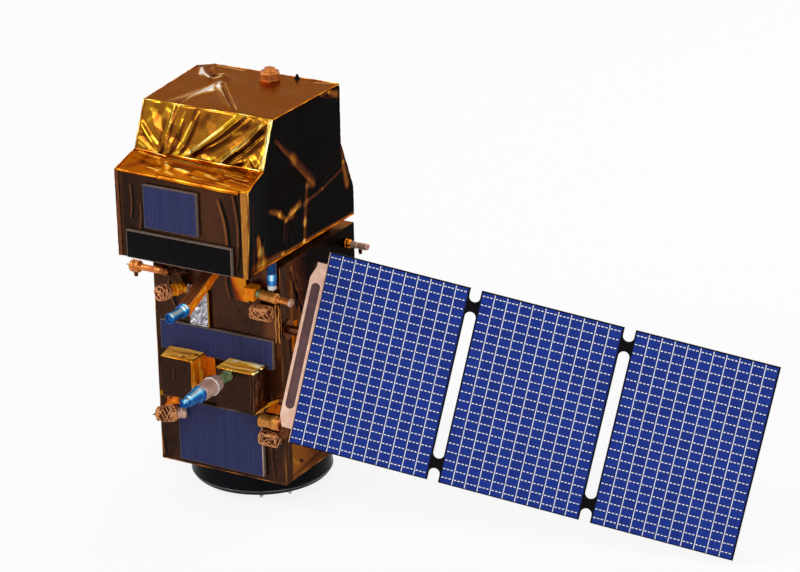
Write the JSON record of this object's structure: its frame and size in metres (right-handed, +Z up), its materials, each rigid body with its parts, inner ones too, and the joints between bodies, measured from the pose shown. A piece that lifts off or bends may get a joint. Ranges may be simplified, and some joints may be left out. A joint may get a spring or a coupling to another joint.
{
  "type": "display model of a satellite",
  "caption": "Foil-wrapped display model of an observation satellite with a hooded instrument and one turning solar wing.",
  "frame": {"origin": "centre of the adapter face, the flat land under the drum, which is the launch interface", "axes": "+Z up, -Y the front with the radiators, +X the side that carries the solar wing"},
  "size_m": [0.5671, 0.2314, 0.3806],
  "materials": {
    "black_gloss": "gloss black lacquer",
    "pale_metal": "dull pale metal",
    "gold_film": "gold metallised film over a light core, creased",
    "copper_film": "copper-brown metallised film",
    "copper_metal": "bare copper, some of it braided",
    "radiator_blue": "satin blue-violet with fine vertical lines",
    "green_anodised": "green anodised",
    "blue_anodised": "blue anodised, glossy",
    "silver_film": "crumpled silver film",
    "panel_black": "black plate",
    "cell_blue": "printed blue solar cells with a white grid",
    "yoke_copper": "satin copper-coloured plate"
  },
  "bodies": {
    "spacecraft": {"adapter_drum": "black_gloss", "base_nozzles": "pale_metal", "bus_box": "gold_film", "bus_trim_right": "copper_film", "bus_trim_left": "copper_film", "wing_flange": "copper_metal", "hood_shell": "gold_film", "hood_trim_right": "gold_film", "hood_trim_left": "copper_film", "hood_feet": "black_gloss", "radiator_lower": "radiator_blue", "radiator_upper": "radiator_blue", "radiator_hood": "radiator_blue", "aperture_cover": "black_gloss", "equipment_box_left": "gold_film", "equipment_box_right": "gold_film", "antenna_base": "green_anodised", "antenna_collar": "pale_metal", "antenna_cone": "blue_anodised", "antenna_tip": "pale_metal", "forward_arm": "copper_film", "blue_horn": "blue_anodised", "valve_strap": "gold_film", "thruster_can_upper": "gold_film", "thruster_rod_upper": "copper_metal", "valve_block": "copper_metal", "thruster_nozzle_upper": "copper_metal", "valve_ring": "green_anodised", "braided_knot_upper": "copper_metal", "foil_patch": "silver_film", "hood_sensor": "blue_anodised", "feed_strip": "copper_metal", "thruster_can_lower": "copper_metal", "thruster_nozzle_lower": "copper_metal", "braided_knot_lower": "copper_metal", "thruster_back_right": "copper_metal", "thruster_back_left": "copper_metal", "top_knob": "copper_metal", "top_cone": "black_gloss"},
    "solar_wing": {"wing_panel": "panel_black", "cells_inner": "cell_blue", "cells_middle": "cell_blue", "cells_outer": "cell_blue", "wing_yoke": "yoke_copper", "wing_hub": "copper_metal", "wing_shaft": "pale_metal"}
  },
  "joints": [
    {"name": "wing_turn", "type": "hinge", "parent": "spacecraft", "child": "solar_wing", "pos_m": [0.065, -0.054, 0.169], "axis": [1, 0, 0], "range_deg": [-105, 215]}
  ]
}
